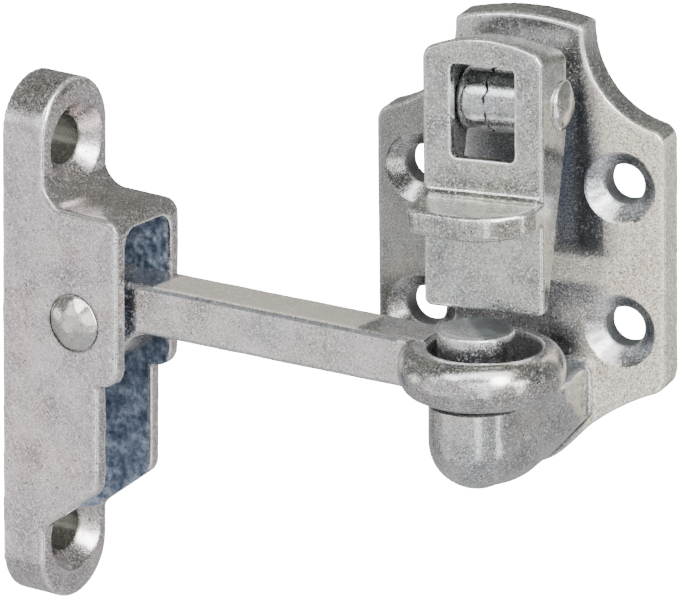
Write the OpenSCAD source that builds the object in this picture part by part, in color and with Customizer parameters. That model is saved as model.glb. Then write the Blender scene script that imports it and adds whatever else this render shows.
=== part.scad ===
// Door holdback hook, in millimetres: a keeper plate with a peg, a gravity latch on
// that plate, and a hook arm that folds in a door bracket.
// X runs to the right, Y into the wall and Z up. The origin is the middle of the
// keeper's screw pattern, on the plate's back face.

/* [Keeper plate] */
// Thickness of the plate
plate_t = 6.3; // [4:0.1:10]
// Width of the plate
plate_w = 49.6; // [47:0.1:60]
// Screw spacing across
screw_gap_x = 34.4; // [30:0.1:36]
// Screw spacing up and down
screw_gap_z = 24; // [18:0.1:26]
// Diameter of the screw holes
plate_hole_d = 6.6; // [4:0.1:7]
// Diameter of the countersinks
plate_sink_d = 12; // [9:0.1:13]
// Width of the hump above the shoulders
hump_w = 22.1; // [18:0.1:24]
// Height of the hump's corners above the screw pattern's middle
hump_h = 38.1; // [36:0.1:44]
// Rise from the hump's corners to where its two slopes would meet
hump_peak = 2.85; // [1:0.05:4]
// Radius of the hump's crown
crown_r = 44; // [30:1:60]
// Radius of the hump's corners
hump_r = 1; // [0.8:0.1:2]
// Height where the hump's side would meet the shoulder's slope
neck_h = 25.2; // [24:0.1:27]
// Radius of the hollow between hump and shoulder
neck_r = 15.8; // [8:0.1:16]
// Height of the shoulders
shoulder_h = 21.4; // [19:0.1:23]
// Radius of the shoulders
shoulder_r = 2.7; // [1:0.1:4]
// Depth of the lower corners below the pattern's middle
hip_h = 21.6; // [19:0.1:24]
// Radius of the lower corners
hip_r = 3; // [1:0.1:5]
// Distance from the middle to the hollow below the lower corners
sweep_x = 13.5; // [12:0.1:16]
// Radius of the hollow below the lower corners
sweep_r = 38; // [20:1:50]
// Rounding of the plate's front edge
plate_edge = 0.7; // [0.3:0.1:0.8]

/* [Boss and peg] */
// Distance from the wall to the peg's axis
peg_out = 26.3; // [24:0.1:32]
// Diameter of the peg
peg_d = 12.66; // [9:0.02:14]
// Height of the peg above the ledge
peg_h = 11.1; // [9:0.1:12]
// Bevel of the peg's top edge
peg_edge = 0.35; // [0.1:0.05:1]
// Width of the boss, which is also the diameter of its round nose
boss_w = 15.5; // [13:0.1:18]
// Depth of the ledge below the screw pattern's middle
ledge_h = 18.5; // [17:0.1:22]
// Height from the ledge to the middle of the boss's round bottom
boss_h = 7.9; // [5:0.1:12]
// Rounding of the ledge's edge
ledge_edge = 1; // [0.3:0.1:2]
// How far the boss's underside swells from its nose to the plate
boss_swell = 2.2; // [0:0.1:4]
// How far each flank of the boss swells from its nose to the plate
flank_swell = 3.8; // [0:0.1:4]
// Power of both swellings: 1 is straight, and more makes the boss fuller
boss_bow = 2.5; // [1:0.1:4]
// Radius where the boss's underside runs out into the plate
boss_fillet = 3; // [1:0.1:5]
// Radius where the boss's flanks and the ledge run out into the plate
flank_fillet = 1.9; // [0.5:0.1:2.5]
// Width of plate round the underside of the boss
tail_rim = 2.25; // [1.6:0.05:4]
// Slope of the plate's edge beside the boss, in degrees
tail_slope = 48.5; // [40:0.5:55]

/* [Knuckle and latch pin] */
// Distance from the wall to the latch pin
pin_out = 14.2; // [13.6:0.1:17]
// Height of the latch pin above the screw pattern's middle
pin_h = 27.3; // [26:0.1:29]
// Diameter of the latch pin
pin_d = 5; // [3:0.1:6]
// Diameter of the knuckle
knuckle_d = 10.6; // [8:0.1:11]
// Width of the knuckle
knuckle_w = 12.4; // [8:0.1:13]
// Rounding of the knuckle's edges
knuckle_edge = 1.5; // [0.2:0.1:2]
// Diameter of the latch pin's heads
pin_head_d = 8.2; // [6.5:0.1:10]
// Height of the latch pin's heads
pin_head_h = 1.8; // [0.6:0.1:2.4]

/* [Latch lever] */
// Width of the latch
latch_w = 20.55; // [18:0.05:22]
// Distance from the pin to the latch's front face
latch_face = 8.7; // [8.2:0.1:11]
// Depth of the latch at its cheeks
latch_depth = 11; // [10:0.1:12]
// Height of the latch's corners above the pin
latch_up = 9.9; // [9.4:0.1:11]
// Rise from the latch's corners to where its crown's slopes would meet
latch_peak = 4; // [2:0.1:5]
// Radius of the latch's crown
latch_crown_r = 22; // [15:1:30]
// Radius of the latch's upper corners
latch_corner_r = 2.5; // [1:0.1:4]
// Distance from the pin down to the latch's lower edge
latch_down = 33; // [30:0.1:33.5]
// Radius of the latch's lower corners
latch_foot_r = 1.2; // [0.8:0.1:3]
// Thickness of the latch's front wall
latch_wall = 2.2; // [1.5:0.1:2.8]
// Thickness of the latch's roof at its peak
latch_roof = 3.4; // [2.6:0.1:3.8]
// Slope of the latch's roof towards the wall, in degrees
roof_slope = 10; // [0:1:12]
// Radius of the latch's top edge on the wall side
roof_back_r = 3; // [2.6:0.1:4]
// Distance below the pin where the cheeks begin to taper
cheek_drop = 4.3; // [2:0.1:8]
// Distance below the pin where the cheeks run out
cheek_end = 31.5; // [24:0.1:32]
// Radius of the cheeks' corner where they begin to taper
cheek_r = 2; // [0.5:0.1:4]
// How far the roof reaches towards the wall past the pin's axis
roof_past = 0.4; // [-1:0.1:0.5]
// Width of the window
window_w = 10.9; // [6:0.1:11.8]
// Height of the window, which the pin halves
window_h = 15.65; // [10:0.05:16]
// Radius of the window's corners
window_r = 1; // [0.3:0.1:2]
// Rounding of the latch's front edges
latch_edge = 0.7; // [0.2:0.1:1]

/* [Thumb tab] */
// Distance from the pin down to the tab's upper face
tab_drop = 13.7; // [10:0.1:20]
// Thickness of the tab
tab_t = 4.2; // [3:0.1:6]
// Reach of the tab's left corner
tab_left = 9; // [7:0.1:12]
// Radius of the tab's left corner
tab_left_r = 3; // [1.2:0.1:5]
// Reach of the tab's tip
tab_reach = 10.4; // [9.2:0.1:14]
// Distance of the tab's tip to the right of the middle
tab_tip_x = 3.5; // [0:0.1:5]
// Radius of the tab's tip
tab_tip_r = 9; // [4:0.5:12]
// Reach of the tab's right corner
tab_right = 4.8; // [3:0.1:7]
// Radius of the tab's right corner
tab_right_r = 5; // [2:0.1:8]
// Droop of the tab, in degrees
tab_droop = 5; // [0:1:12]
// Rounding of the tab's edges
tab_edge = 0.8; // [0.2:0.1:1.1]
// Radius of the fillet above the tab's root
tab_fillet = 1.2; // [0.5:0.1:3]

/* [Hook arm] */
// Angle of the arm to the wall, in degrees
arm_angle = 13.6; // [8:0.1:30]
// Distance from the arm's pivot to the ring's middle
arm_reach = 75.2; // [70:0.1:140]
// Height of the bar
bar_h = 8.5; // [6:0.1:9]
// Thickness of the bar
bar_t = 9.5; // [6:0.1:11]
// Rounding of the bar's edges
bar_edge = 0.9; // [0.2:0.1:1.5]
// Distance of the pivot below the bar's middle line
hub_drop = 3; // [0:0.1:3.5]
// Diameter of the hub
hub_d = 16; // [15:0.1:17]
// Radius of the hollow between hub and bar
hub_fillet = 6.6; // [3:0.1:12]
// Diameter of the bosses on the hub's sides
hub_boss_d = 11; // [9:0.1:14]
// Outer diameter of the ring
ring_d = 27.2; // [26:0.1:32]
// Diameter of the ring's hole
ring_hole_d = 18.4; // [17:0.1:20]
// Distance of the hole from the ring's middle, away from the bar
ring_hole_shift = 0.6; // [0:0.1:1]
// Height of the ring
ring_h = 8.2; // [6:0.1:9]
// Depth of the ring's rounded rim
ring_rim = 3.2; // [1:0.1:3.5]
// Rounding of the ring's hole
ring_hole_edge = 0.8; // [0.2:0.1:1.5]
// Distance of the ring's middle from the peg's axis, away from the bracket
ring_shift = 1.07; // [0:0.01:1.1]
// Gap between the ring and the ledge
ring_gap = 0.3; // [0.1:0.05:1]

/* [Door bracket] */
// Width of the bracket
bracket_w = 17.72; // [17:0.02:24]
// Distance from the pivot back to the bracket's seat
bracket_back = 14.7; // [14:0.1:20]
// Thickness of the tongues at their middle
tongue_t = 8.6; // [6:0.1:8.8]
// Width of the tongues' rounded front edge
tongue_edge_w = 2.4; // [0.5:0.1:3]
// Depth of the tongues' rounded front edge
tongue_edge_d = 0.8; // [0.3:0.1:1.5]
// Height of the upper tongue's end arc above the pivot
tongue_up = 29.9; // [28:0.1:36]
// Depth of the lower tongue's end arc below the pivot
tongue_down = 42.4; // [41:0.1:50]
// Height of the upper screw above the pivot
screw_up = 27.7; // [27:0.1:33]
// Depth of the lower screw below the pivot
screw_down = 39.6; // [39:0.1:48]
// Diameter of the bracket's screw holes
bracket_hole_d = 8.2; // [5:0.1:9]
// Diameter of the bracket's countersinks
bracket_sink_d = 13.8; // [11:0.1:15]
// Distance from the pivot to the front of the upper box
box_out = 8.6; // [8.3:0.1:12]
// Height of the box's top above the pivot
box_up = 18.8; // [17:0.1:19]
// Depth of the upper box's lower edge below the pivot
box_down = 10.2; // [9:0.1:14]
// Distance from the pivot to the front of the lower box
lower_out = 4.7; // [4:0.1:7]
// Depth of the lower box's front corner below the pivot
lower_down = 28.5; // [24:0.1:30]
// Depth where the lower box's slope meets the tongue
slope_down = 37.2; // [36:0.1:38]
// Radius of the upper box's front top edge
box_top_r = 2.5; // [1:0.1:4]
// Radius of the upper box's front lower edge
box_low_r = 3.4; // [1:0.1:3.6]
// Radius of the lower box's front corner
lower_r = 3; // [1:0.1:5]
// Radius of the corner where the upper box steps back to the lower one
step_r = 0.4; // [0.2:0.1:2]
// Radius of the hollow between the box and the upper tongue
tongue_fillet = 4.6; // [1:0.1:5]
// Radius of the hollow between the box's slope and the lower tongue
slope_fillet = 3.2; // [1:0.1:4]
// Rounding of the box's side edges
box_edge = 0.85; // [0.2:0.05:1.5]
// Thickness of the box's side walls
box_wall = 2.56; // [1.8:0.02:4]
// Thickness of the box's top wall
box_top_wall = 1.9; // [1.4:0.1:3]
// Distance from the pivot back to the channel's floor
channel_back = 9; // [8.6:0.1:12]
// Radius of the channel's upper corners
channel_r = 3; // [0.5:0.1:4]
// Rise of the sloping floor at the channel's lower end
channel_slope_h = 5.8; // [2:0.1:10]
// Lean of the bracket against the arm, in degrees
bracket_lean = 1.4; // [0:0.1:4]
// Diameter of the pivot rivet
rivet_d = 6; // [4:0.1:7]
// Diameter of the pivot rivet's heads
rivet_head_d = 9.4; // [8:0.1:12]
// Height of the pivot rivet's heads
rivet_head_h = 2.2; // [0.8:0.1:3]
// Depth of the recess round each rivet head
rivet_recess = 0.5; // [0.2:0.1:1]
// Gap round each rivet head in its recess
rivet_head_gap = 0.4; // [0.2:0.05:0.8]

/* [Fits] */
// Radial clearance of a pin that turns in its bore
running_clear = 0.06; // [0.02:0.01:0.1]
// Radial clearance of a riveted pin in the walls that hold it
fixed_clear = 0.02; // [0.01:0.01:0.05]
// Gap on each side of the knuckle between the latch's cheeks
cheek_gap = 0.3; // [0.1:0.05:0.5]
// Gap on each side of the hub's bosses in the channel
hub_gap = 0.2; // [0.1:0.05:0.5]

/* [Hidden] */

// How far an arc may stray from its chords
arc_tol = 0.015;
// How far a piece or a cut runs past the surface it must cross
past = 1;
// Hair's step where one face of a casting runs on from another
flush_gap = 0.04;
// Hair that is trimmed off the flat faces of a slab
trim = 0.02;
// Steps in half a turn of a swept outline
half_turn = 24;
// Steps along the boss from its fillet to its nose
body_steps = 6;
// Power of the cosine that blends the boss's flanks into its underside
flank_blend = 6;
$fn = 64;

plate_color = "silver";
latch_color = "gainsboro";
arm_color = "darkgray";
bracket_color = "silver";
pin_color = "lightgray";

// Corners of the plate's outline, as [x, z, radius]
boss_bottom_z = -ledge_h - boss_h;
tail_r = boss_w / 2 + tail_rim;
tail_z = boss_bottom_z - tail_r / cos(tail_slope);
sweep_z = tail_z + sweep_x * tan(tail_slope);
plate_right = [
    [sweep_x, sweep_z, sweep_r],
    [plate_w / 2, -hip_h, hip_r],
    [plate_w / 2, shoulder_h, shoulder_r],
    [hump_w / 2, neck_h, neck_r],
    [hump_w / 2, hump_h, hump_r],
];

// Places along the latch, in the plate's frame
latch_front_y = -pin_out - latch_face;
latch_back_y = latch_front_y + latch_depth;
latch_inner_y = latch_front_y + latch_wall;
latch_peak_z = pin_h + latch_up + latch_peak;
latch_foot_z = pin_h - latch_down;
cheek_x = knuckle_w / 2 + cheek_gap;
// The crown's arc lies this far under the corner where its slopes would meet
crown_sag = latch_crown_r * (1 / cos(atan(2 * latch_peak / latch_w)) - 1);
ceiling_z = latch_peak_z - latch_roof - crown_sag;
roof_end_y = -pin_out + roof_past;
tab_z = pin_h - tab_drop;

// Places of the arm and its pivot
ring_z = -ledge_h + ring_gap + ring_h / 2;
channel_x = bracket_w / 2 - box_wall;
hub_half = channel_x - hub_gap;
rivet_seat = bracket_w / 2 - rivet_recess;

// Unit vector along v
function unit(v) = v / norm(v);

// Length of the tangent from corner c to its arc of radius c.z
function tangent(p, c, q) =
    let (a = unit([p.x - c.x, p.y - c.y]), b = unit([q.x - c.x, q.y - c.y]))
    c.z / tan(acos(max(-1, min(1, a * b))) / 2);

// Points of the arc that rounds corner c between its neighbours p and q
function rounding(p, c, q, share) =
    let (
        at = [c.x, c.y],
        a = unit([p.x, p.y] - at),
        b = unit([q.x, q.y] - at),
        half = acos(max(-1, min(1, a * b))) / 2,
        r = c.z * share,
        middle = at + unit(a + b) * r / sin(half),
        from = at + a * r / tan(half) - middle,
        to = at + b * r / tan(half) - middle,
        start = atan2(from.y, from.x),
        sweep = (atan2(to.y, to.x) - start + 540) % 360 - 180,
        steps = max(3, ceil(abs(sweep) / (2 * acos(1 - arc_tol / max(r, 2 * arc_tol)))))
    )
    r <= 0 ? [at] : [for (i = [0:steps])
        middle + r * [cos(start + sweep * i / steps), sin(start + sweep * i / steps)]];

// Outline through corners [x, y, radius], anticlockwise; two arcs share a short side
function rounded(corners) =
    let (
        n = len(corners),
        t = [for (i = [0:n - 1])
            tangent(corners[(i + n - 1) % n], corners[i], corners[(i + 1) % n])],
        side = [for (i = [0:n - 1])
            let (c = corners[i], q = corners[(i + 1) % n]) norm([q.x - c.x, q.y - c.y])],
        fill = [for (i = [0:n - 1])
            min(1, 0.98 * side[i] / max(0.001, t[i] + t[(i + 1) % n]))]
    )
    [for (i = [0:n - 1])
        each rounding(corners[(i + n - 1) % n], corners[i], corners[(i + 1) % n],
            min(fill[i], fill[(i + n - 1) % n]))];

// Corners mirrored to the other side, in reverse order
function mirrored(corners) =
    [for (i = [len(corners) - 1:-1:0]) [-corners[i].x, corners[i].y, corners[i].z]];

// Left-hand normal of the edge from a to b
function normal(a, b) = let (d = unit(b - a)) [-d.y, d.x];

// An anticlockwise outline drawn in by d
function inset(outline, d) =
    let (n = len(outline))
    [for (i = [0:n - 1])
        let (
            c = outline[i],
            m = normal(outline[(i + n - 1) % n], c) + normal(c, outline[(i + 1) % n])
        )
        c + m * (2 * d / (m * m))];

// An outline lifted to height z
function raised(outline, z) = [for (p = outline) [p.x, p.y, z]];

// A closed solid through rings of points, each ring anticlockwise and above the last
module skin(rings) {
    n = len(rings[0]);
    k = len(rings);
    polyhedron(
        points = [for (ring = rings) each ring],
        faces = concat(
            [[for (i = [0:n - 1]) i]],
            [[for (i = [n - 1:-1:0]) (k - 1) * n + i]],
            [for (j = [0:k - 2], i = [0:n - 1])
                [j * n + i, (j + 1) * n + i, (j + 1) * n + (i + 1) % n]],
            [for (j = [0:k - 2], i = [0:n - 1])
                [j * n + i, (j + 1) * n + (i + 1) % n, j * n + (i + 1) % n]]
        )
    );
}

// A slab of an outline from height 0 to h, with its edges rounded w in and d down.
// It is made a hair too high, then trimmed, so each of its faces is one flat plane.
module slab(outline, h, low_w = 0, low_d = 0, high_w = 0, high_d = 0) {
    reach = max([for (p = outline) norm(p)]) + past;
    low = low_w > 0 ? [for (a = [0:30:90])
        raised(inset(outline, low_w * (1 - sin(a))), low_d * (1 - cos(a)) - trim)]
        : [raised(outline, -past)];
    high = high_w > 0 ? [for (a = [0:30:90])
        raised(inset(outline, high_w * (1 - cos(a))), h + trim - high_d * (1 - sin(a)))]
        : [raised(outline, h + past)];
    intersection() {
        skin(concat(low, high));
        translate([-reach, -reach, 0])
            cube([2 * reach, 2 * reach, h]);
    }
}

// Turns an outline in x and z, drawn in the XY plane, to face the front
module facing_front() {
    rotate([90, 0, 0]) children();
}

// Turns an outline in y and z, drawn in the XY plane, to face the right
module facing_right() {
    rotate([90, 0, 90]) children();
}

// A screw hole along +Z from below 0 to the face at height t, with a 90 degree sink
module screw_hole(t, hole_d, sink_d) {
    depth = (sink_d - hole_d) / 2;
    translate([0, 0, -past])
        cylinder(h = t + 2 * past, d = hole_d);
    translate([0, 0, t - depth])
        cylinder(h = depth + past, d1 = hole_d, d2 = hole_d + 2 * (depth + past));
}

// A rivet head on the plane z = 0: a short straight rim and a dome
module rivet_head(d, h) {
    rim = h / 4;
    dome = h - rim;
    ball = (d * d / 4 + dome * dome) / (2 * dome);
    span = asin(d / 2 / ball);
    rotate_extrude()
        polygon(concat(
            [[0, 0], [d / 2, 0]],
            [for (i = [0:8])
                let (a = span * (1 - i / 8)) [ball * sin(a), h - ball + ball * cos(a)]]
        ));
}

// A pin along Z with a domed head on each side of the walls it clamps
module riveted_pin(d, seat, head_d, head_h) {
    translate([0, 0, -seat])
        cylinder(h = 2 * seat, d = d);
    for (side = [0, 1])
        mirror([0, 0, side])
            translate([0, 0, seat])
                rivet_head(head_d, head_h);
}

// Rise of a fillet against the plate, at a depth in front of the wall
function run_out(depth, radius) =
    let (left = max(0, min(radius, plate_t + radius - depth)))
    radius - sqrt(pow(radius, 2) - pow(left, 2));

// Growth of the boss over its nose's radius, at a depth and an angle below level
function boss_growth(depth, angle) =
    let (
        way = max(0, depth - plate_t) / (peg_out - plate_t),
        swollen = 1 - pow(way, boss_bow),
        flank = flank_swell * swollen + run_out(depth, flank_fillet),
        under = boss_swell * swollen + run_out(depth, boss_fillet)
    )
    under + (flank - under) * pow(cos(angle), flank_blend);

// Growth that keeps the boss within the plate's edge, at an angle below level
function rim_growth(angle) =
    (tail_r - plate_edge - flush_gap) / cos(max(0, 90 - tail_slope - angle)) - boss_w / 2;

// Section of the boss at a depth in front of the wall, in x and z
function boss_section(depth) =
    let (
        half = boss_w / 2 + boss_growth(depth, 0),
        top = -ledge_h + run_out(depth, flank_fillet),
        e = ledge_edge
    )
    concat(
        [for (i = [0:half_turn])
            let (
                a = 180 + 180 * i / half_turn,
                below = a < 270 ? a - 180 : 360 - a,
                r = boss_w / 2 + min(boss_growth(depth, below), rim_growth(below))
            )
            [r * cos(a), boss_bottom_z + r * sin(a)]],
        [for (a = [0:22.5:90])
            [half - e + e * cos(a), top - e + e * sin(a)]],
        [for (a = [90:22.5:180])
            [-half + e + e * cos(a), top - e + e * sin(a)]]
    );

// The boss: a round nose under the peg, swept back into the plate
module boss() {
    body = peg_out - plate_t - boss_fillet;
    depths = concat([plate_t - past],
        [for (a = [15:15:75]) plate_t + boss_fillet * (1 - cos(a))],
        [for (i = [0:body_steps]) plate_t + boss_fillet + body * i / body_steps]);
    facing_front()
        skin([for (depth = depths) raised(boss_section(depth), depth)]);
    translate([0, -peg_out, 0])
        rotate_extrude()
            polygon(concat(
                [[0, -ledge_h]],
                [for (a = [90:-15:0])
                    [boss_w / 2 - ledge_edge + ledge_edge * cos(a),
                        -ledge_h - ledge_edge + ledge_edge * sin(a)]],
                [for (i = [0:half_turn / 2])
                    let (a = -180 * i / half_turn)
                    [boss_w / 2 * cos(a), boss_bottom_z + boss_w / 2 * sin(a)]]
            ));
}

// The peg that the ring drops over
module peg() {
    translate([0, -peg_out, -ledge_h - past]) {
        cylinder(h = peg_h + past - peg_edge, d = peg_d);
        cylinder(h = peg_h + past, d1 = peg_d, d2 = peg_d - 2 * peg_edge);
    }
}

// The knuckle that carries the latch, reaching forward from the plate
module knuckle() {
    r = knuckle_d / 2;
    nose = [for (i = [0:half_turn])
        let (a = 90 + 180 * i / half_turn) [r * cos(a), r * sin(a)]];
    root = pin_out - plate_t + past;
    translate([-knuckle_w / 2, -pin_out, pin_h])
        facing_right()
            slab(concat(nose, [[root, -r], [root, r]]), knuckle_w,
                knuckle_edge, knuckle_edge, knuckle_edge, knuckle_edge);
}

module keeper_plate() {
    outline = rounded(concat(
        [[0, tail_z, tail_r]],
        plate_right,
        [[0, hump_h + hump_peak, crown_r]],
        mirrored(plate_right)
    ));
    color(plate_color)
    difference() {
        union() {
            facing_front()
                slab(outline, plate_t, high_w = plate_edge, high_d = plate_edge);
            boss();
            peg();
            knuckle();
        }
        for (x = [-1, 1], z = [-1, 1])
            translate([x * screw_gap_x / 2, 0, z * screw_gap_z / 2])
                facing_front()
                    screw_hole(plate_t, plate_hole_d, plate_sink_d);
        translate([-knuckle_w, -pin_out, pin_h])
            rotate([0, 90, 0])
                cylinder(h = 2 * knuckle_w, r = pin_d / 2 + running_clear);
    }
}

// Outline of the latch from the front at a distance behind its face; the roof slopes
function latch_outline(back) =
    let (squeeze = 1 - back * tan(roof_slope) / (latch_peak_z - latch_foot_z))
    [for (p = rounded([
        [-latch_w / 2, latch_foot_z, latch_foot_r],
        [latch_w / 2, latch_foot_z, latch_foot_r],
        [latch_w / 2, pin_h + latch_up, latch_corner_r],
        [0, latch_peak_z, latch_crown_r],
        [-latch_w / 2, pin_h + latch_up, latch_corner_r],
    ])) [p.x, latch_foot_z + (p.y - latch_foot_z) * squeeze]];

// Body of the latch before its hollow and window are cut
module latch_block() {
    roof_back_z = latch_peak_z - crown_sag - latch_depth * tan(roof_slope);
    intersection() {
        translate([0, latch_back_y, 0])
            facing_front()
                skin(concat(
                    [raised(latch_outline(latch_depth), 0)],
                    [for (a = [0:30:90]) raised(inset(latch_outline(0), latch_edge * (1 - cos(a))),
                        latch_depth - latch_edge * (1 - sin(a)))]
                ));
        translate([-latch_w, 0, 0])
            facing_right()
                linear_extrude(2 * latch_w)
                    polygon(rounded([
                        [latch_front_y - past, latch_foot_z - past, 0],
                        [latch_inner_y, latch_foot_z - past, 0],
                        [latch_inner_y, pin_h - cheek_end, 0],
                        [latch_back_y, pin_h - cheek_drop, cheek_r],
                        [latch_back_y, roof_back_z, roof_back_r],
                        [latch_front_y - past, latch_peak_z + past, 0],
                    ]));
    }
}

// Hollow behind the latch's front wall, between its cheeks
module latch_hollow() {
    translate([-cheek_x, 0, 0])
        facing_right()
            linear_extrude(2 * cheek_x)
                polygon([
                    [latch_inner_y, latch_foot_z - past],
                    [0, latch_foot_z - past],
                    [0, latch_peak_z + past],
                    [roof_end_y, latch_peak_z + past],
                    [roof_end_y, ceiling_z - (roof_end_y - latch_inner_y) * tan(roof_slope)],
                    [latch_inner_y, ceiling_z],
                ]);
}

// The tab that a thumb lifts, drooping a little, with a fillet above its root
module thumb_tab() {
    root = latch_wall / 2;
    outline = rounded([
        [-latch_w / 2, -root, 0],
        [latch_w / 2, -root, 0],
        [latch_w / 2, tab_right, tab_right_r],
        [tab_tip_x, tab_reach, tab_tip_r],
        [-latch_w / 2, tab_left, tab_left_r],
    ]);
    translate([0, latch_front_y, tab_z])
        rotate([180 + tab_droop, 0, 0])
            slab(outline, tab_t, tab_edge, tab_edge, tab_edge, tab_edge);
    fillet_w = latch_w - 2 * latch_edge;
    translate([-fillet_w / 2, latch_front_y, tab_z])
        facing_right()
            linear_extrude(fillet_w)
                polygon(concat(
                    [[root, -tab_fillet / 2], [root, tab_fillet]],
                    [for (a = [0:-15:-90])
                        [-tab_fillet + tab_fillet * cos(a), tab_fillet + tab_fillet * sin(a)]],
                    [[-tab_fillet, -tab_fillet / 2]]
                ));
}

module latch_lever() {
    window = rounded([for (c = [[-1, -1], [1, -1], [1, 1], [-1, 1]])
        [c.x * window_w / 2, pin_h + c.y * window_h / 2, window_r]]);
    color(latch_color)
    difference() {
        union() {
            difference() {
                latch_block();
                latch_hollow();
            }
            thumb_tab();
        }
        translate([0, latch_inner_y + past, 0])
            facing_front()
                linear_extrude(latch_wall + 2 * past)
                    polygon(window);
        translate([-latch_w, -pin_out, pin_h])
            rotate([0, 90, 0])
                cylinder(h = 2 * latch_w, r = pin_d / 2 + fixed_clear);
    }
}

module latch_pin() {
    color(pin_color)
    translate([0, -pin_out, pin_h])
        rotate([0, 90, 0])
            riveted_pin(pin_d, latch_w / 2, pin_head_d, pin_head_h);
}

// Frame of the arm: its pivot at the origin, the bar along +X and the pin along Y
module at_pivot() {
    translate([0, -peg_out, ring_z - hub_drop])
        rotate([0, 0, -arm_angle])
            translate([ring_shift - arm_reach, 0, 0])
                children();
}

// Side view of hub and bar, in x and z about the pivot
module bar_and_hub() {
    top = hub_drop + bar_h / 2;
    bottom = hub_drop - bar_h / 2;
    r = hub_d / 2;
    from = 180 - asin(top / r);
    // The hollow's arc touches the hub and the bar's underside
    hollow_z = bottom - hub_fillet;
    hollow_x = sqrt(pow(r + hub_fillet, 2) - pow(hollow_z, 2));
    touch = atan2(hollow_z, hollow_x);
    hub_arc = [for (i = [0:40])
        let (a = from + (360 + touch - from) * i / 40) r * [cos(a), sin(a)]];
    hollow = [for (i = [1:12])
        let (a = 180 + touch - (90 + touch) * i / 12)
        [hollow_x, hollow_z] + hub_fillet * [cos(a), sin(a)]];
    translate([0, bar_t / 2, 0])
        facing_front()
            slab(concat(hub_arc, hollow, [[arm_reach, bottom], [arm_reach, top]]), bar_t,
                bar_edge, bar_edge, bar_edge, bar_edge);
}

// The ring's body, with its rim rounded towards the outside
module ring_body() {
    r = ring_d / 2;
    half = ring_h / 2;
    rotate_extrude()
        polygon(concat(
            [[0, -half]],
            [for (a = [-90:10:90])
                [r - ring_rim + ring_rim * cos(a), half * sin(a)]],
            [[0, half]]
        ));
}

// The hole through the ring, widening at both faces
module ring_hole() {
    r = ring_hole_d / 2;
    e = ring_hole_edge;
    half = ring_h / 2;
    cylinder(h = 2 * ring_h, r = r, center = true);
    for (side = [0, 1])
        mirror([0, 0, side])
            rotate_extrude()
                polygon(concat(
                    [[0, half + past], [0, half - e]],
                    [for (a = [0:15:90]) [r + e - e * cos(a), half - e + e * sin(a)]],
                    [[r + e, half + past]]
                ));
}

module hook_arm() {
    color(arm_color)
    at_pivot()
    difference() {
        union() {
            bar_and_hub();
            rotate([90, 0, 0])
                cylinder(h = 2 * hub_half, d = hub_boss_d, center = true);
            translate([arm_reach, 0, hub_drop])
                ring_body();
        }
        translate([arm_reach + ring_hole_shift, 0, hub_drop])
            ring_hole();
        rotate([90, 0, 0])
            cylinder(h = 4 * hub_half, r = rivet_d / 2 + running_clear, center = true);
    }
}

module arm_pivot_rivet() {
    color(pin_color)
    at_pivot()
        rotate([90, 0, 0])
            riveted_pin(rivet_d, rivet_seat, rivet_head_d, rivet_head_h);
}

// The bracket's flat back with its two round-ended tongues
module tongues() {
    r = bracket_w / 2;
    outline = [for (end = [0, 1], i = [0:half_turn])
        let (a = 180 * (end + i / half_turn))
        [r * cos(a), (end == 0 ? tongue_up : -tongue_down) + r * sin(a)]];
    translate([-bracket_back, 0, 0])
        facing_right()
            slab(outline, tongue_t, high_w = tongue_edge_w, high_d = tongue_edge_d);
}

// The box that stands on the tongues and holds the arm
module box() {
    front = tongue_t - bracket_back - tongue_edge_d / 2;
    inside = front - tongue_t / 2;
    profile = rounded([
        [inside, -slope_down - slope_fillet, 0],
        [front, -slope_down - slope_fillet, 0],
        [front, -slope_down, slope_fillet],
        [lower_out, -lower_down, lower_r],
        [lower_out, -box_down, step_r],
        [box_out, -box_down, box_low_r],
        [box_out, box_up, box_top_r],
        [front, box_up, tongue_fillet],
        [front, box_up + tongue_fillet + flush_gap, 0],
        [inside, box_up + tongue_fillet + flush_gap, 0],
    ]);
    half = bracket_w / 2 - flush_gap;
    translate([0, half, 0])
        facing_front()
            slab(profile, 2 * half, box_edge, box_edge, box_edge, box_edge);
}

// The channel that the arm folds into, open to the front and over the lower tongue
module channel() {
    reach = box_out + past;
    ceiling = box_up - box_top_wall;
    foot = -tongue_down - bracket_w;
    intersection() {
        translate([-bracket_back, 0, 0])
            facing_right()
                linear_extrude(bracket_back + reach)
                    polygon(rounded([
                        [-channel_x, foot, 0],
                        [channel_x, foot, 0],
                        [channel_x, ceiling, channel_r],
                        [-channel_x, ceiling, channel_r],
                    ]));
        translate([0, bracket_w / 2, 0])
            facing_front()
                linear_extrude(bracket_w)
                    polygon([
                        [-channel_back, ceiling + past],
                        [-channel_back, channel_slope_h - slope_down],
                        [tongue_t - bracket_back, -slope_down],
                        [tongue_t - bracket_back, foot],
                        [reach, foot],
                        [reach, ceiling + past],
                    ]);
    }
}

module door_bracket() {
    color(bracket_color)
    at_pivot()
    rotate([0, bracket_lean, 0])
    difference() {
        union() {
            tongues();
            box();
        }
        channel();
        for (z = [screw_up, -screw_down])
            translate([-bracket_back, 0, z])
                rotate([0, 90, 0])
                    screw_hole(tongue_t, bracket_hole_d, bracket_sink_d);
        rotate([90, 0, 0])
            cylinder(h = 2 * bracket_w, r = rivet_d / 2 + fixed_clear, center = true);
        for (side = [0, 1])
            mirror([0, side, 0])
                translate([0, rivet_seat, 0])
                    rotate([-90, 0, 0])
                        cylinder(h = rivet_recess + past,
                            r = rivet_head_d / 2 + rivet_head_gap);
    }
}

keeper_plate();
latch_lever();
latch_pin();
hook_arm();
arm_pivot_rivet();
door_bracket();
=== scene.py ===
"""Looks of the door holdback hook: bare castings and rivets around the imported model."""
import math

import bmesh
import bpy
import numpy as np
from mathutils import Matrix, Vector, noise


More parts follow.
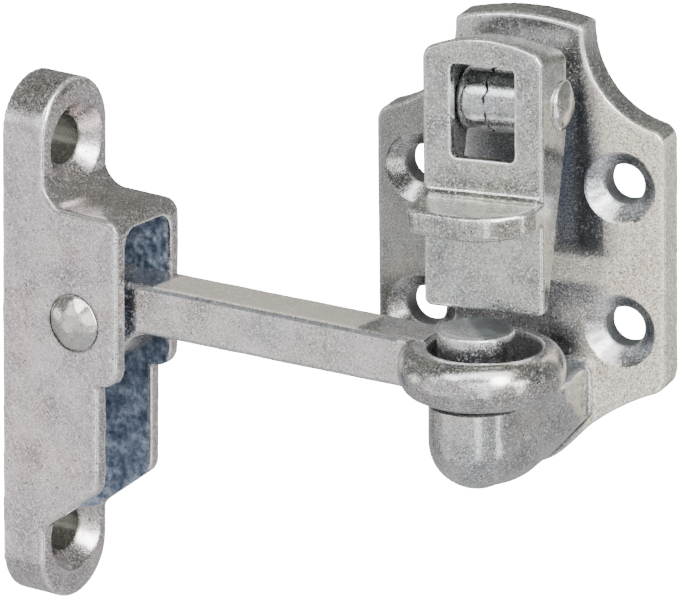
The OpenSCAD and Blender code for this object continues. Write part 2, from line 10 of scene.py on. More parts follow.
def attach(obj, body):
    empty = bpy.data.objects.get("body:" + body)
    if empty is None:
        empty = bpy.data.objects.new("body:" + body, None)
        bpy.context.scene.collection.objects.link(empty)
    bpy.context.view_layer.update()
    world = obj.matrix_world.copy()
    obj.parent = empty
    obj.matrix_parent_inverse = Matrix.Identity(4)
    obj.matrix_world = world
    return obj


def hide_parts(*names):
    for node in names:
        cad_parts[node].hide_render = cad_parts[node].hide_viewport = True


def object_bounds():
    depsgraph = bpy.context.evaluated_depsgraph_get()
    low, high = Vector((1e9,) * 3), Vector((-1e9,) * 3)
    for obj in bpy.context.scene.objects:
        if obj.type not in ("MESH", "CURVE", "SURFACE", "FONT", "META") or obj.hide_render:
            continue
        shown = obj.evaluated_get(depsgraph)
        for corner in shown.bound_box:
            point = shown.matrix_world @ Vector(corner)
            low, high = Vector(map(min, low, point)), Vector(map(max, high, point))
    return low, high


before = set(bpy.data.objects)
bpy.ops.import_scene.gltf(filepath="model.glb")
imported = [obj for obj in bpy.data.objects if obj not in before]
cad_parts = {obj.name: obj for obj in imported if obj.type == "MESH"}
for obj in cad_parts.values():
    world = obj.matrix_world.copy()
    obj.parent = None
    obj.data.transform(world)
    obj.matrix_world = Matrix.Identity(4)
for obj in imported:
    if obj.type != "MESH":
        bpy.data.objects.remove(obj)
cad_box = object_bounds()

MM = 0.001
DEG = math.pi / 180

# The bracket's own frame: its pivot, the arm's turn to the wall and the bracket's lean
PIVOT = Vector((-72.0515, -8.8689, -17.1)) * MM
ARM_TURN = -13.6 * DEG
BRACKET_LEAN = 1.4 * DEG
BRACKET = (Matrix.Translation(PIVOT) @ Matrix.Rotation(ARM_TURN, 4, "Z")
           @ Matrix.Rotation(BRACKET_LEAN, 4, "Y"))
# The keeper's frame, turned so that its third axis points out of the wall
FACING_FRONT = Matrix.Rotation(90 * DEG, 4, "X")
# Axis of the latch's knuckle, and of the ring
KNUCKLE = Vector((0, -14.2, 27.3)) * MM
RING = Vector((1.04, -26.552, -14.1)) * MM


def paint(code):
    """Linear colour of an sRGB hex value."""
    channels = [int(code[i:i + 2], 16) / 255 for i in (1, 3, 5)]
    return [c / 12.92 if c <= 0.04045 else ((c + 0.055) / 1.055) ** 2.4
            for c in channels] + [1.0]


def add(tree, kind, sockets=None, out=0, stops=None, **settings):
    """Adds a node with its settings, values and links.

    It gives one of the node's outputs, by number, or all of them if out is None.
    """
    node = tree.nodes.new(kind)
    for name, value in settings.items():
        setattr(node, name, value)
    if stops:
        ramp = node.color_ramp
        while len(ramp.elements) < len(stops):
            ramp.elements.new(0.5)
        for element, (place, colour) in zip(ramp.elements, stops):
            element.position = place
            element.color = colour
    for socket, value in (sockets or {}).items():
        if isinstance(value, bpy.types.NodeSocket):
            tree.links.new(value, node.inputs[socket])
        else:
            node.inputs[socket].default_value = value
    return node.outputs if out is None else node.outputs[out]


def bare_tree(owner):
    """Empty node tree of a new material or world."""
    owner.use_nodes = True
    owner.node_tree.nodes.clear()
    return owner.node_tree


# Castings

# Flat faces are thinned until a piece has this many triangles
MOST_TRIANGLES = 180000
# A fold sharper than this stays sharp in the shading
SHARP_FOLD = 32 * DEG
# An edge that stands out this far from its surroundings is fully worn
WORN_HEIGHT = 0.1 * MM
WEAR_ROUNDS = 8
# Length over which a ragged cut strays
WOBBLE_LENGTH = 1.3 * MM
# Length and depth of the crumbs on a rough wall
CRUMBS = (1.1 * MM, 0.3 * MM)


def turned(shape, profile, stand, steps=96, wobble=0.0):
    """Adds a body of revolution: profile is (radius, height) in mm about stand's third axis.

    wobble is how far it strays along that axis, in mm.
    """
    before = set(shape.verts)
    chain = [shape.verts.new(Vector((r, 0, h)) * MM) for r, h in profile]
    edges = [shape.edges.new((a, b)) for a, b in zip(chain, chain[1:] + chain[:1])]
    bmesh.ops.spin(shape, geom=chain + edges, cent=(0, 0, 0), axis=(0, 0, 1),
                   angle=2 * math.pi, steps=steps, use_merge=True)
    body = [v for v in shape.verts if v not in before]
    for v in body:
        v.co.z += wobble * MM * noise.noise(v.co / WOBBLE_LENGTH)
    bmesh.ops.transform(shape, matrix=stand, verts=body)
    bmesh.ops.remove_doubles(shape, verts=body, dist=1e-7)


def outward(shape):
    """Mesh of a shape with its faces turned outwards."""
    bmesh.ops.recalc_face_normals(shape, faces=shape.faces)
    mesh = bpy.data.meshes.new("turned")
    shape.to_mesh(mesh)
    shape.free()
    return mesh


def merged(node, plugs):
    """A closed mesh of a CAD node, its triangles joined, with plugs in its drilled holes."""
    shape = bmesh.new()
    shape.from_mesh(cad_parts[node].data)
    bmesh.ops.remove_doubles(shape, verts=shape.verts, dist=1e-6)
    if plugs:
        filled = bmesh.new()
        for profile, stand in plugs:
            turned(filled, profile, stand)
        shape.from_mesh(outward(filled))
    mesh = bpy.data.meshes.new(node + "_skin")
    shape.to_mesh(mesh)
    shape.free()
    return mesh


def vectors(mesh):
    """Places and normals of a mesh's vertices, each an array of three columns."""
    found = []
    for name in ("co", "normal"):
        values = np.empty(len(mesh.vertices) * 3)
        mesh.vertices.foreach_get(name, values)
        found.append(values.reshape(-1, 3))
    return found


def keep(mesh, name, values):
    """Keeps a value on each vertex of a mesh, for its material."""
    layer = mesh.attributes.new(name, "FLOAT", "POINT")
    layer.data.foreach_set("value", values.astype(np.float32))


def prominence(mesh):
    """Keeps on each vertex how far it stands out: 1 on an edge, 0 on a flat, -1 in a corner.

    That is its distance from the mean of its surroundings, found by smoothing in rounds.
    """
    count = len(mesh.vertices)
    place, facing = vectors(mesh)
    ends = np.empty(len(mesh.edges) * 2, dtype=np.int64)
    mesh.edges.foreach_get("vertices", ends)
    both = np.concatenate([ends[0::2], ends[1::2]])
    other = np.concatenate([ends[1::2], ends[0::2]])
    degree = np.bincount(both, minlength=count)
    mean = place
    for _ in range(WEAR_ROUNDS):
        mean = np.stack([np.bincount(both, mean[other, k], count) for k in range(3)], 1)
        mean /= degree[:, None]
    stands = np.clip(((place - mean) * facing).sum(1) / WORN_HEIGHT, -1, 1)
    keep(mesh, "prominence", stands)
    return stands


def waves(mesh, long_wave, short_wave, stands, rough):
    """Moves each vertex a little along its normal, as a cast and tumbled face undulates.

    The short waves are strongest where the casting is rounded, and a rough wall has crumbs.
    """
    place, facing = vectors(mesh)
    layers = [(*long_wave, 1.0), (*short_wave, 0.3 + 0.7 * np.abs(stands))]
    if rough:
        layers.append((*CRUMBS, rough(place)))
    for k, (length, depth, share) in enumerate(layers):
        shift = np.array([noise.noise(Vector(at) / length + Vector((k * 7.3, 0, 0)))
                          for at in place])
        place = place + facing * (shift * depth * share)[:, None]
    mesh.vertices.foreach_set("co", place.ravel())
    mesh.update()


def baked(piece):
    """Replaces a piece's mesh by the result of its modifiers."""
    graph = bpy.context.evaluated_depsgraph_get()
    final = bpy.data.meshes.new_from_object(piece.evaluated_get(graph))
    piece.modifiers.clear()
    piece.data = final
    return final


def smooth(low, high, value):
    """0 below low, 1 above high, and eased in between."""
    share = np.clip((value - low) / (high - low), 0, 1)
    return share * share * (3 - 2 * share)


def casting(name, node, body, voxel, softness, sizes, material,
            plugs=(), cuts=(), rough=None, rules=None):
    """A piece in place of a CAD node: softened edges and corners, then its machined cuts.

    sizes are the length and depth of its long and short waves, rough gives the share of
    crumbs on its walls, and rules give the values that its material reads from the vertices.
    """
    piece = bpy.data.objects.new(name, merged(node, plugs))
    bpy.context.scene.collection.objects.link(piece)
    skin = piece.modifiers.new("skin", "REMESH")
    skin.mode = "VOXEL"
    skin.voxel_size = voxel
    soften = piece.modifiers.new("soften", "SMOOTH")
    soften.factor = 0.5
    soften.iterations = softness
    final = baked(piece)
    waves(final, *sizes, prominence(final), rough)
    if cuts:
        shape = bmesh.new()
        for cut in cuts:
            turned(shape, *cut)
        tool = bpy.data.objects.new("tool", outward(shape))
        bpy.context.scene.collection.objects.link(tool)
        bore = piece.modifiers.new("bore", "BOOLEAN")
        bore.operation = "DIFFERENCE"
        bore.solver = "MANIFOLD"
        bore.object = tool
        final = baked(piece)
        bpy.data.objects.remove(tool)
    triangles = len(final.loops) - 2 * len(final.polygons)
    if triangles > MOST_TRIANGLES:
        thin = piece.modifiers.new("thin", "DECIMATE")
        thin.ratio = MOST_TRIANGLES / triangles
        final = baked(piece)
    place, facing = vectors(final)
    for layer, rule in (rules or {}).items():
        keep(final, layer, rule(place / MM, facing))
    final.shade_smooth()
    final.set_sharp_from_angle(angle=SHARP_FOLD)
    final.materials.clear()
    final.materials.append(material)
    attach(piece, body)
    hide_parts(node)
    return piece


# Finishes


def tumbled(tree, place, light, dark, turns, dented):
    """Colour and height of bare alloy after tumbling: grain, dents, pits and scratches, with
    painted glints on specks and worn edges and painted shade in corners.
    """
    # Grain of 0.3 mm, two pixels in the render
    grain = add(tree, "ShaderNodeTexNoise", {"Vector": place, "Scale": 1 / (0.3 * MM),
                "Detail": 3.0, "Roughness": 0.8})
    dents = add(tree, "ShaderNodeTexNoise", {"Vector": place, "Scale": 1 / (0.9 * MM),
                "Detail": 2.0, "Roughness": 0.6})
    # Specks of 0.22 mm, each with a tone of its own
    specks = add(tree, "ShaderNodeTexVoronoi", {"Vector": place, "Scale": 1 / (0.22 * MM)},
                 out=None)
    blotch = add(tree, "ShaderNodeTexNoise", {"Vector": place, "Scale": 1 / (6 * MM),
                 "Detail": 2.0, "Roughness": 0.5})
    hue = add(tree, "ShaderNodeTexNoise", {"Vector": place, "Scale": 1 / (11 * MM),
              "Detail": 3.0, "Roughness": 0.6})
    # The part tumbles freely, so its scratches cross at all angles, and hardly bend
    bend = add(tree, "ShaderNodeTexNoise", {"Vector": place, "Scale": 1 / (9 * MM)}, out=1)
    bend = add(tree, "ShaderNodeVectorMath", {0: bend, 1: (2 * MM,) * 3, 2: place},
               operation="MULTIPLY_ADD")
    cuts = None
    for turn, length, least in turns:
        # Scratches one pixel wide in the render
        lines = add(tree, "ShaderNodeMapping", {"Vector": bend,
                    "Scale": (length * MM, length * MM, 0.16 * MM),
                    "Rotation": (0.3 * turn, turn, 0.7 * turn),
                    "Location": (turn * MM, 0, 0)}, vector_type="TEXTURE")
        lines = add(tree, "ShaderNodeTexNoise", {"Vector": lines, "Scale": 1.0, "Detail": 1.0})
        lines = add(tree, "ShaderNodeMapRange", {"Value": lines, "From Min": least,
                    "From Max": least + 0.04})
        cuts = lines if cuts is None else add(
            tree, "ShaderNodeMath", {0: cuts, 1: lines}, operation="MAXIMUM")
    pits = add(tree, "ShaderNodeTexVoronoi", {"Vector": place, "Scale": 1 / (1.5 * MM)})
    pits = add(tree, "ShaderNodeMapRange", {"Value": pits, "From Min": 0.13, "From Max": 0.06})
    edge = add(tree, "ShaderNodeAttribute", out=2, attribute_name="prominence")
    shine = add(tree, "ShaderNodeMapRange", {"Value": edge, "From Min": 0.15, "From Max": 0.8})
    # Painted shade: concave corners are darkened
    corner_shade = add(tree, "ShaderNodeMapRange", {"Value": edge, "From Min": -0.3, "From Max": -1.0})
    tone = add(tree, "ShaderNodeMath", {0: blotch, 1: 0.4, 2: grain}, operation="MULTIPLY_ADD")
    colour = add(tree, "ShaderNodeValToRGB", {"Fac": tone},
                 stops=[(0.5, paint(dark)), (0.85, paint(light))])
    tint = add(tree, "ShaderNodeValToRGB", {"Fac": hue}, stops=[
        (0.36, paint("#EAEFF6")), (0.5, paint("#F8F8F8")), (0.64, paint("#F9F5EE"))])
    colour = add(tree, "ShaderNodeMix", {0: 0.8, 6: colour, 7: tint}, out=2,
                 data_type="RGBA", blend_type="MULTIPLY")
    # Painted glints: the brightest specks are painted white
    sparks = add(tree, "ShaderNodeMapRange", {"Value": specks["Color"],
                 "From Min": 0.74, "From Max": 0.86})
    # Painted highlight: knocked, worn edges are painted white here and there, as glints
    knocks = add(tree, "ShaderNodeMapRange", {"Value": grain, "From Min": 0.3, "From Max": 0.55})
    worn_edge_glint = add(tree, "ShaderNodeMath", {0: shine, 1: knocks}, operation="MULTIPLY")
    for share, over in ((cuts, "#FFFEFC"), (sparks, "#FFFFFF"), (worn_edge_glint, "#FFFFFF"),
                        (pits, "#5B5751"), (corner_shade, "#4A4742")):
        colour = add(tree, "ShaderNodeMix", {0: share, 6: colour, 7: paint(over)}, out=2,
                     data_type="RGBA")
    height = grain
    for relief, share in ((cuts, -0.6), (dents, dented), (specks["Distance"], 1.2),
                          (pits, -1.0)):
        height = add(tree, "ShaderNodeMath", {0: relief, 1: share, 2: height},
                     operation="MULTIPLY_ADD")
    return {"colour": colour, "grain": grain, "shine": shine, "worn_edge_glint": worn_edge_glint,
            "cuts": cuts, "specks": specks["Color"], "sparks": sparks,
            "height": height}


# skin gives the three tones of the painted shade
def bare_alloy(name, light, dark, turns, dented=1.5, rough=0.2,
               skin=("#11161E", "#2B323B", "#59636E"), latch_reflected=False):
    """Zinc-aluminium casting, tumbled bright: a grey satin with fine sparkle and small marks."""
    material = bpy.data.materials.new(name)
    tree = bare_tree(material)
    place = add(tree, "ShaderNodeTexCoord", out=3)
    face = tumbled(tree, place, light, dark, turns, dented)
    # Painted shade: bores, creases, hollows and faces under the ring get mottled dark tones, and
    # so do the real dark parting lines
    shade_and_seams = add(tree, "ShaderNodeAttribute", out=2, attribute_name="shade_and_seams")
    crumbs = add(tree, "ShaderNodeTexNoise", {"Vector": place, "Scale": 1 / (2 * MM),
                 "Detail": 6.0, "Roughness": 0.75})
    crumbs = add(tree, "ShaderNodeValToRGB", {"Fac": crumbs},
                 stops=[(0.36, paint(skin[0])), (0.5, paint(skin[1])), (0.68, paint(skin[2]))])
    layers = [(shade_and_seams, crumbs)]
    if latch_reflected:
        # Painted reflection of the latch's dark side: a blue-grey band with a straight edge on
        # the plate's front beside the latch
        axes = add(tree, "ShaderNodeSeparateXYZ", {"Vector": place}, out=None)
        latch_reflection = 0.62
        for axis, bare_from, full_from in ((0, 14.5, 14.2), (0, 6, 7), (1, -7.2, -6.8),
                                           (1, -6.0, -6.15), (2, 0, 2), (2, 31, 27)):
            side = add(tree, "ShaderNodeMapRange", {"Value": axes[axis],
                       "From Min": bare_from * MM, "From Max": full_from * MM})
            latch_reflection = add(tree, "ShaderNodeMath", {0: latch_reflection, 1: side}, operation="MULTIPLY")
        layers.append((latch_reflection, paint("#465266")))
    # Painted shade: bores, hollows, rivet recesses and faces that get less light are painted a
    # dark olive-grey and made less metallic
    dim_shade = add(tree, "ShaderNodeAttribute", out=2, attribute_name="dim_shade")
    # Painted light: matt faces are painted pale, as light falls on them from above
    lit_matt = add(tree, "ShaderNodeAttribute", out=2, attribute_name="lit_matt")
    # Gritty faces sparkle, and their pale tone is painted light where the plate is lit beside
    # the latch
    grit_and_light = add(tree, "ShaderNodeAttribute", out=2, attribute_name="grit_and_light")
    grains = add(tree, "ShaderNodeValToRGB", {"Fac": face["specks"]},
                 stops=[(0.15, paint("#8B8172")), (0.5, paint("#EFE2CC")),
                        (0.8, paint("#FFFCF4"))])
    pale = add(tree, "ShaderNodeMath", {0: grit_and_light, 1: 0.9}, operation="MULTIPLY")
    colour = face["colour"]
    for share, over in layers + [(dim_shade, paint("#5E5F55")), (lit_matt, paint("#E9E0D2")),
                                 (pale, grains)]:
        colour = add(tree, "ShaderNodeMix", {0: share, 6: colour, 7: over}, out=2,
                     data_type="RGBA")
    depth = add(tree, "ShaderNodeMath", {0: grit_and_light, 1: 0.030 * MM, 2: 0.008 * MM},
                operation="MULTIPLY_ADD")
    bump = add(tree, "ShaderNodeBump", {"Height": face["height"], "Strength": 1.0,
               "Distance": depth})
    roughness = rough - 0.1
    for share, gain in ((face["grain"], 0.2), (face["shine"], -0.1), (shade_and_seams, 0.15)):
        roughness = add(tree, "ShaderNodeMath", {0: share, 1: gain, 2: roughness},
                        operation="MULTIPLY_ADD")
    # Painted shade, grit, matt faces, scratches and glints are less metallic, so they also
    # scatter some light
    metal = 1.0
    for share, loss in ((shade_and_seams, -0.7), (grit_and_light, -0.75), (lit_matt, -0.65), (dim_shade, -0.3),
                        (face["cuts"], -0.15), (face["sparks"], -0.25),
                        (face["worn_edge_glint"], -0.35)):
        metal = add(tree, "ShaderNodeMath", {0: share, 1: loss, 2: metal},
                    operation="MULTIPLY_ADD")
    shader = add(tree, "ShaderNodeBsdfPrincipled", {"Base Color": colour, "Metallic": metal,
                 "Roughness": roughness, "Specular IOR Level": 0.25, "Normal": bump})
    add(tree, "ShaderNodeOutputMaterial", {"Surface": shader}, out=None)
    return material



# Turn in radians, length in mm and rarity of each family of scratches
SHORT_SCRATCHES = ((0.6, 0.9, 0.70), (-0.9, 1.3, 0.71), (2.0, 0.7, 0.70))
LONG_SCRATCHES = ((1.05, 4.5, 0.665), (-0.8, 1.2, 0.68), (1.4, 0.8, 0.68), (0.5, 2.5, 0.67))
# The four castings differ a little in tint, dents and scratches
# The plate gets the painted reflection of the latch beside it
plate_finish = bare_alloy("tumbled_plate_casting", "#F2F2F2", "#7C7E82", SHORT_SCRATCHES, 2.0,
                          latch_reflected=True)
latch_finish = bare_alloy("tumbled_latch_casting", "#EDEFE8", "#7E817B", SHORT_SCRATCHES, 1.6,
                          0.17)
arm_finish = bare_alloy("tumbled_arm_casting", "#F6F3F2", "#868382", SHORT_SCRATCHES, 3.5, 0.17)
# The bracket's channel gets a paler blue-grey painted shade
bracket_finish = bare_alloy("tumbled_bracket_casting", "#FAF1F4", "#8C8386", LONG_SCRATCHES,
                            1.6, skin=("#414E61", "#707D91", "#B6C1D2"))
# Hammered steel: brighter and smoother than the castings, with flats that flash
rivet_finish = bare_alloy("bright_steel_rivet", "#F8F5F0", "#C8C4C0", ((0.9, 1.0, 0.7),),
                          5.0, 0.14)


# Pieces

# Scale of every piece's voxel size
VOXEL_SHARE = 1
# Length and depth of the long and the short waves of a cast face
FACE_WAVES = [(5 * MM, 0.05 * MM), (1.5 * MM, 0.035 * MM)]


# Rings that the cutter leaves on a countersink: how many, and how deep in mm
RINGS = 7
RING_DEPTH = 0.13


def sink(stand, thick, hole, rim):
    """Plug and cut of a countersunk hole, whose cone keeps the rings of its cutter."""
    deep = rim - hole
    cone = [(hole + deep * k / RINGS + RING_DEPTH * (k % 2), thick - deep + deep * k / RINGS)
            for k in range(RINGS + 1)]
    plug = ([(0, 0), (rim + 0.2, 0), (rim + 0.2, thick), (0, thick)], stand)
    return plug, ([(0, -1), (hole, -1)] + cone + [(rim + 1, thick + 1), (0, thick + 1)], stand)


# Screw holes, in mm: their places, the metal's thickness, and the radii of bore and rim
PLATE_HOLES = [(x, z) for x in (-17.2, 17.2) for z in (-12, 12)]
PLATE_THICK, PLATE_BORE, PLATE_RIM = 6.3, 3.3, 6.0
BRACKET_HOLES = (27.7, -39.6)
TONGUE_THICK, BRACKET_BORE, BRACKET_RIM = 8.6, 4.1, 6.9
# A vertex this near to a bore's radius, in mm, is on its wall
ON_BORE = 0.06

plate_holes = [sink(Matrix.Translation(Vector((x, 0, z)) * MM) @ FACING_FRONT,
                    PLATE_THICK, PLATE_BORE, PLATE_RIM) for x, z in PLATE_HOLES]
knuckle_axis = Matrix.Translation(KNUCKLE) @ Matrix.Rotation(90 * DEG, 4, "Y")
# The boss is turned down a little below the ring's seat
seat = ([(7.3, -19.7), (7.3, -19.0), (9.2, -19.0), (9.2, -20.3), (7.85, -20.1)],
        Matrix.Translation((0, -26.3 * MM, 0)))
crack = ([(4.4, -0.95), (7, -1), (7, -0.6), (4.4, -0.7)], knuckle_axis, 96, 1.1)


def from_axis(place, along, at):
    """Distance of each place from a line along one axis through a point, in mm."""
    rest = [k for k in range(3) if k != along]
    return np.hypot(place[:, rest[0]] - at[rest[0]], place[:, rest[1]] - at[rest[1]])


def keeper_shade_and_seams(place, facing):
    """Painted shade in the screw holes, in the knuckle's crack and flanks, behind the latch,
    under the ring and on the peg's top, and the hump's real dark parting line.
    """
    x, y, z = place.T
    bores = np.any([from_axis(place, 1, (hole_x, 0, hole_z)) < PLATE_BORE + ON_BORE
                    for hole_x, hole_z in PLATE_HOLES], axis=0)
    knuckle = from_axis(place, 0, KNUCKLE / MM)
    crack = (knuckle < 5.0) & (np.abs(x) < 5) & (y < -12)
    flanks = (knuckle < 8) & (np.abs(facing[:, 0]) > 0.6) & (y < -7.5)
    behind = (smooth(10.6, 8.2, np.abs(x)) * (y > -7.5) * (y < -4) * smooth(-2, 6, z)
              * smooth(31, 27, z))
    ledge = (np.abs(z + 17.7) < 1.1) * (y > -26) * (y < -6.6) * (x > 0) * 0.75
    groove = (y < -18) * (z > -19.8) * (z < -18.9) * (facing[:, 2] < 0.5)
    top = ((z > -7.7) * (z < -6) * (y < -18)
           * (0.55 + 0.4 * smooth(-0.6, 0.6, x + 0.7 * (y + 26) + 0.5)))
    parting = (np.abs(x + 1.5) < 0.16) * (z > 33) * (y < -5)
    # Everything here but the parting line is painted shade
    return np.clip(0.8 * bores + crack + 0.7 * flanks + 0.55 * behind + ledge + groove
                   + top + 0.6 * parting, 0, 1)


def keeper_dim_shade(place, facing):
    """Painted shade on the plate's left side and on the peg's top."""
    x, y, z = place.T
    left = smooth(-9, -12, x) * (y > -7) * (facing[:, 1] < -0.85)
    top = (z > -7.7) * (z < -6) * (y < -18)
    return np.clip(0.6 * left + 0.25 * top, 0, 1)


def keeper_grit_and_light(place, facing):
    """Gritty front of the plate to the right of the latch and below it, and its right side,
    painted paler where light falls on them.
    """
    x, y, z = place.T
    side = smooth(12.5, 17, x - 2 * smooth(12, 0, z) + 0.12 * np.abs(z - 8))
    low = smooth(-6, -12, z) * smooth(8, 14, x)
    gold = 0.7 * smooth(-5.2, -4, z) * smooth(0.6, -0.8, z) * (x > 5)
    front = (np.clip(side + low + gold, 0, 1) * (facing[:, 1] < -0.8)
             * (np.abs(y + PLATE_THICK) < 0.5))
    return np.maximum(front, 0.8 * (facing[:, 0] > 0.9) * (x > 24))


def arm_place(place):
    """Places in the arm's own frame: x along the bar from its pivot, z up."""
    turned_back = np.array(Matrix.Rotation(ARM_TURN, 3, "Z"))
    return ((place - np.array(PIVOT) / MM) @ turned_back).T


def arm_shade_and_seams(place, facing):
    """Painted shade inside and under the ring and on the hub's sides in the channel, and the
    bar's real dark seam.
    """
    ring = from_axis(place, 2, RING / MM)
    hole = smooth(10.4, 9.6, ring) * (np.abs(facing[:, 2]) < 0.8)
    under = (ring < 14) & (facing[:, 2] < -0.93)
    hub = np.linalg.norm(place - np.array(PIVOT) / MM, axis=1)
    sides = smooth(9.6, 7.8, hub) * 0.7
    x, y, z = arm_place(place)
    seam = (np.abs(z - 6.75) < 0.3) * (y < -3.8) * (x > 9) * (x < 62)
    return np.clip(0.75 * hole + under + sides + 0.8 * seam, 0, 1)


def arm_lit_top(place, facing):
    """Matt top of the bar, painted pale where light falls on it, up to where it comes near the
    keeper.
    """
    x, y, z = arm_place(place)
    return (0.75 * (facing[:, 2] > 0.85) * (z > 6.9) * smooth(54.2, 53.2, x)
            * smooth(12.5, 13.3, x))


def latch_hollow_shade(place, facing):
    """Painted shade in the hollow between the cheeks."""
    x, y, z = place.T
    return (0.55 * smooth(6.9, 6.7, np.abs(x)) * smooth(-20.9, -20.6, y)
            * smooth(36.6, 36.4, z))


def latch_dim_shade(place, facing):
    """Painted shade on the top of the thumb tab."""
    x, y, z = place.T
    return 0.45 * smooth(-25.3, -25.9, y) * (z > 12.7) * (z < 15)


casting("keeper_casting", "keeper_plate", "keeper",
        0.21 * MM * VOXEL_SHARE, 5, FACE_WAVES, plate_finish,
        [hole[0] for hole in plate_holes], [hole[1] for hole in plate_holes] + [crack, seat],
        rules={"shade_and_seams": keeper_shade_and_seams, "dim_shade": keeper_dim_shade, "grit_and_light": keeper_grit_and_light})
casting("latch_casting", "latch_lever", "latch",
        0.17 * MM * VOXEL_SHARE, 5, FACE_WAVES, latch_finish,
        rules={"shade_and_seams": latch_hollow_shade, "dim_shade": latch_dim_shade})
casting("arm_casting", "hook_arm", "arm",
        0.19 * MM * VOXEL_SHARE, 6, FACE_WAVES, arm_finish,
        rules={"shade_and_seams": arm_shade_and_seams, "lit_matt": arm_lit_top})


def bracket_place(place):
    """Places in the bracket's own frame, in mm from its pivot: x out of the door, z up."""
    return (place - np.array(PIVOT) / MM) @ np.array(BRACKET.to_3x3())


def channel_share(place, facing):
    """How much each vertex of the bracket belongs to the walls of its channel, which get painted
    shade, and crumbs in their surface.
    """
    x, y, z = bracket_place(place).T
    front = np.where(z > -10.2, 7.6, 3.8)
    return (smooth(6.9, 6.5, np.abs(y)) * smooth(17.4, 16.9, z) * smooth(-37.6, -37, z)
            * smooth(front + 0.6, front, x))


def crumbs_share(place):
    """The channel's walls are crumbly round the arm, and plainer below it."""
    place = place / MM
    z = bracket_place(place)[:, 2]
    return channel_share(place, None) * (0.2 + 0.6 * smooth(-12, -6, z))


def bracket_dim_shade(place, facing):
    """Painted shade in the bores of the screw holes and the upper hollow, and a painted shadow
    line round each rivet head.
    """
    local = bracket_place(place)
    bores = np.any([from_axis(local, 0, (0, 0, z)) < BRACKET_BORE + ON_BORE
                    for z in BRACKET_HOLES], axis=0)
    rivet = from_axis(local, 1, (0, 0, 0))
    line = (rivet > 4.5) & (rivet < 5.0) & (np.abs(local[:, 1]) > 8.2)
    hollow = smooth(14.5, 16, local[:, 2]) * smooth(22.5, 21, local[:, 2]) * (facing[:, 2] > 0.1)
    return np.clip(0.9 * bores + 0.6 * line + 0.6 * hollow, 0, 1)


# Where the bracket's flat back lies behind its pivot, in mm
BRACKET_BACK = -14.7

to_front = Matrix.Rotation(90 * DEG, 4, "Y")
bracket_holes = [sink(BRACKET @ Matrix.Translation(Vector((BRACKET_BACK, 0, z)) * MM) @ to_front,
                      TONGUE_THICK, BRACKET_BORE, BRACKET_RIM) for z in BRACKET_HOLES]
# Each rivet head sits in a shallow recess, which shows as a line round it
recesses = []
for side in (1, -1):
    stand = BRACKET @ Matrix.Rotation(-90 * side * DEG, 4, "X")
    recesses.append((([(0, 7.6), (5.3, 7.6), (5.3, 8.82), (0, 8.82)], stand),
                     ([(0, 7), (3.02, 7), (3.02, 8.36), (4.98, 8.36), (4.98, 10), (0, 10)],
                      stand)))
casting("bracket_casting", "door_bracket", "bracket",
        0.2 * MM * VOXEL_SHARE, 5, FACE_WAVES, bracket_finish,
        [item[0] for item in bracket_holes + recesses],
        [item[1] for item in bracket_holes + recesses], crumbs_share,
        rules={"shade_and_seams": channel_share, "dim_shade": bracket_dim_shade})
# Hammer marks on the rivets
RIVET_WAVES = [(2.6 * MM, 0.24 * MM), (1.0 * MM, 0.06 * MM)]
casting("latch_rivet", "latch_pin", "latch",
        0.14 * MM * VOXEL_SHARE, 4, RIVET_WAVES, rivet_finish)
casting("arm_rivet", "arm_pivot_rivet", "bracket",
        0.14 * MM * VOXEL_SHARE, 4, RIVET_WAVES, rivet_finish)


# Studio

# Camera: where it stands, and its right, up and backward directions
CAMERA_PLACE = Vector((511.229, -1342.159, 434.777)) * MM
CAMERA_RIGHT = Vector((0.92773, 0.37306, -0.01155))
CAMERA_UP = Vector((-0.10011, 0.27853, 0.95519))
CAMERA_BACK = Vector((0.35956, -0.88500, 0.29575))
CAMERA_LENS = 489.69

camera = bpy.data.objects.new("camera", bpy.data.cameras.new("camera"))
bpy.context.scene.collection.objects.link(camera)
camera.data.sensor_width = 36
camera.data.sensor_fit = "HORIZONTAL"
camera.data.lens = CAMERA_LENS
camera.data.clip_start, camera.data.clip_end = 0.05, 50
axes = Matrix((CAMERA_RIGHT, CAMERA_UP, CAMERA_BACK)).transposed().to_4x4()
camera.matrix_world = Matrix.Translation(CAMERA_PLACE) @ axes
bpy.context.scene.camera = camera

floor_shape = bmesh.new()
bmesh.ops.create_grid(floor_shape, x_segments=1, y_segments=1, size=20,
                      matrix=Matrix.Translation((0, 0, cad_box[0].z)))
floor_mesh = bpy.data.meshes.new("floor")
floor_shape.to_mesh(floor_mesh)
floor_shape.free()
floor = bpy.data.objects.new("floor", floor_mesh)
bpy.context.scene.collection.objects.link(floor)
floor.visible_glossy = False
floor.visible_diffuse = False
floor_paint = bpy.data.materials.new("matt_white_floor")
tree = bare_tree(floor_paint)
shader = add(tree, "ShaderNodeBsdfPrincipled", {"Base Color": paint("#F8F8F6"),
             "Roughness": 0.9, "Emission Color": paint("#FFFFFF"), "Emission Strength": 20.0})
add(tree, "ShaderNodeOutputMaterial", {"Surface": shader}, out=None)
floor_mesh.materials.append(floor_paint)

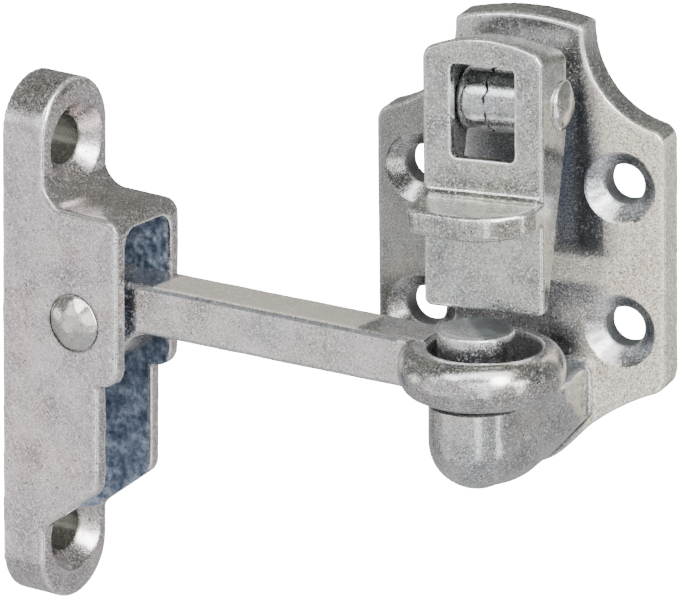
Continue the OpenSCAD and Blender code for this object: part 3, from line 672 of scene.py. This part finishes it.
# Room round the object: a dark room behind it, a paler one in front, and soft lamps. Each
# place is degrees round from the camera, to its right, and degrees above the horizon.
NORTH = math.degrees(math.atan2(CAMERA_BACK.y, CAMERA_BACK.x))
ROOM_BEHIND = [0.26, 0.265, 0.24, 1.0]
FLOOR_BEHIND = [0.52, 0.51, 0.50, 1.0]
FLOOR_LOW = [0.6, 0.6, 0.6, 1.0]
BACKDROP = [22.0, 22.0, 22.0, 1.0]
LAMPS = [
    # place, half width and height in degrees, brightness: the pale front of the room
    (-25, -5, 62, 34, (0.96, 0.95, 0.95)), (-76, -17, 14, 14, (1.15, 1.10, 1.10)),
    # the glow on the ceiling, the window on the left and the lamp's spill to the right
    (8, 58, 30, 17, (4.2, 4.2, 4.2)), (-47, 39, 11, 13, (5.5, 5.5, 5.6)),
    (-104, -3, 8, 8, (2.0, 2.0, 1.9)), (-71, 16, 9, 11, (1.9, 1.9, 1.9)),
    (5, 12, 30, 16, (2.4, 2.4, 2.4)), (51, 8, 9, 9, (6.5, 6.5, 6.5)),
    # two narrow panes low in front
    (3, -17, 3.5, 13, (4.0, 4.0, 4.0)), (53, -15, 3.5, 12, (4.5, 4.5, 4.5)),
    # the main lamp
    (27, 30, 11, 18, (16.0, 16.0, 15.8)),
]


def towards(right, up):
    """Unit vector to a place in the room."""
    turn, rise = (NORTH + right) * DEG, up * DEG
    return Vector((math.cos(turn) * math.cos(rise), math.sin(turn) * math.cos(rise),
                   math.sin(rise)))


room = bpy.data.worlds.new("studio")
bpy.context.scene.world = room
tree = bare_tree(room)
direction = add(tree, "ShaderNodeTexCoord", out=0)
height = add(tree, "ShaderNodeVectorMath", {0: direction, 1: (0, 0, 1)}, out=1,
             operation="DOT_PRODUCT")
horizon = add(tree, "ShaderNodeMapRange", {"Value": height, "From Min": 0.0, "From Max": -0.25})
tone = add(tree, "ShaderNodeMix", {0: horizon, 6: ROOM_BEHIND, 7: FLOOR_BEHIND}, out=2,
           data_type="RGBA")
ground = add(tree, "ShaderNodeMapRange", {"Value": height, "From Min": -0.5, "From Max": -0.75})
tone = add(tree, "ShaderNodeMix", {0: ground, 6: tone, 7: FLOOR_LOW}, out=2,
           data_type="RGBA")
for right, up, wide, high, glow in LAMPS:
    facing = towards(right, up)
    across = Vector((-facing.y, facing.x, 0)).normalized()
    share = []
    for side, half in ((across, wide), (facing.cross(across), high)):
        part = add(tree, "ShaderNodeVectorMath", {0: direction, 1: side / math.sin(half * DEG)},
                   out=1, operation="DOT_PRODUCT")
        share.append(add(tree, "ShaderNodeMath", {0: part, 1: 2.0}, operation="POWER"))
    far = add(tree, "ShaderNodeMath", {0: share[0], 1: share[1]})
    lit = add(tree, "ShaderNodeMapRange", {"Value": far, "From Min": 1.5, "From Max": 0.5},
              interpolation_type="SMOOTHSTEP")
    ahead = add(tree, "ShaderNodeVectorMath", {0: direction, 1: facing}, out=1,
                operation="DOT_PRODUCT")
    ahead = add(tree, "ShaderNodeMath", {0: ahead, 1: 0.0}, operation="GREATER_THAN")
    lit = add(tree, "ShaderNodeMath", {0: lit, 1: ahead}, operation="MULTIPLY")
    tone = add(tree, "ShaderNodeMix", {0: lit, 6: tone, 7: [*glow, 1.0]}, out=2,
               data_type="RGBA")
# The backdrop itself is plain white
seen = add(tree, "ShaderNodeLightPath", out=0)
tone = add(tree, "ShaderNodeMix", {0: seen, 6: tone, 7: BACKDROP}, out=2, data_type="RGBA")
light = add(tree, "ShaderNodeBackground", {"Color": tone, "Strength": 1.0})
add(tree, "ShaderNodeOutputWorld", {"Surface": light}, out=None)
